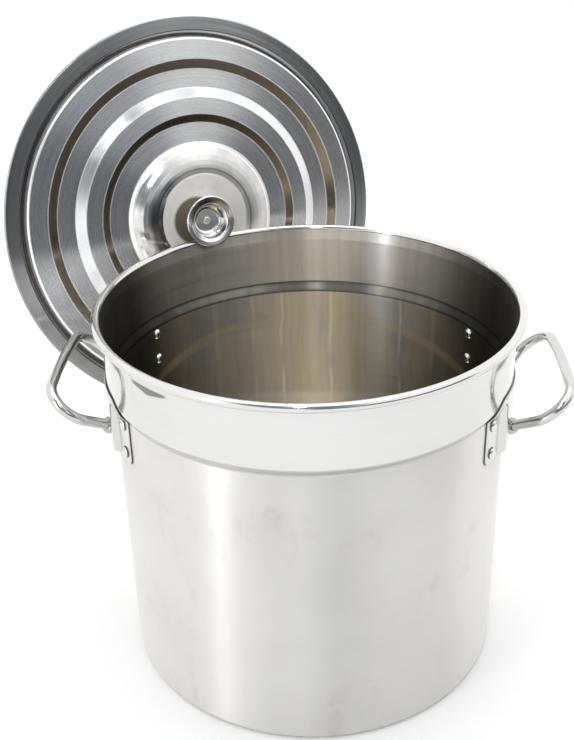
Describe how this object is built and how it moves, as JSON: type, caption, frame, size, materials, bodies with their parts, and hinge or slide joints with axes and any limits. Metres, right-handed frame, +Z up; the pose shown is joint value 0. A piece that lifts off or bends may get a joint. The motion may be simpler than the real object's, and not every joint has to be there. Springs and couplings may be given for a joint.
{
  "type": "brew kettle",
  "caption": "Tall stainless steel brewing pot with a rolled rim, riveted side loop handles, and a domed ring-pressed lid hung on the rim by its knob.",
  "frame": {"origin": "centre of the kettle's underside, on its axis", "axes": "+Z up along the kettle's axis, handles on +X and -X, front at -Y"},
  "size_m": [0.5027, 0.4531, 0.5328],
  "materials": {
    "pot_steel": "polished collar, satin body",
    "bracket_steel": "polished",
    "handle_steel": "polished",
    "rivet_steel": "polished",
    "lid_steel": "spun, circular brushed",
    "knob_steel": "polished",
    "fastener_steel": "bright"
  },
  "bodies": {
    "pot": {"pot_shell": "pot_steel", "left_bracket": "bracket_steel", "right_bracket": "bracket_steel", "left_handle": "handle_steel", "right_handle": "handle_steel", "left_front_collar": "handle_steel", "left_rear_collar": "handle_steel", "right_front_collar": "handle_steel", "right_rear_collar": "handle_steel", "left_front_rivets": "rivet_steel", "left_rear_rivets": "rivet_steel", "right_front_rivets": "rivet_steel", "right_rear_rivets": "rivet_steel"},
    "lid": {"lid_pressing": "lid_steel", "knob_spacer": "knob_steel", "lid_knob": "knob_steel", "knob_screw": "fastener_steel", "knob_washer": "fastener_steel", "knob_nut": "fastener_steel"}
  },
  "joints": [
    {"name": "lid_lift", "type": "slide", "parent": "pot", "child": "lid", "axis": [-0.0875, 0.1579, 0.9836], "range_m": [0, 0.4]}
  ]
}
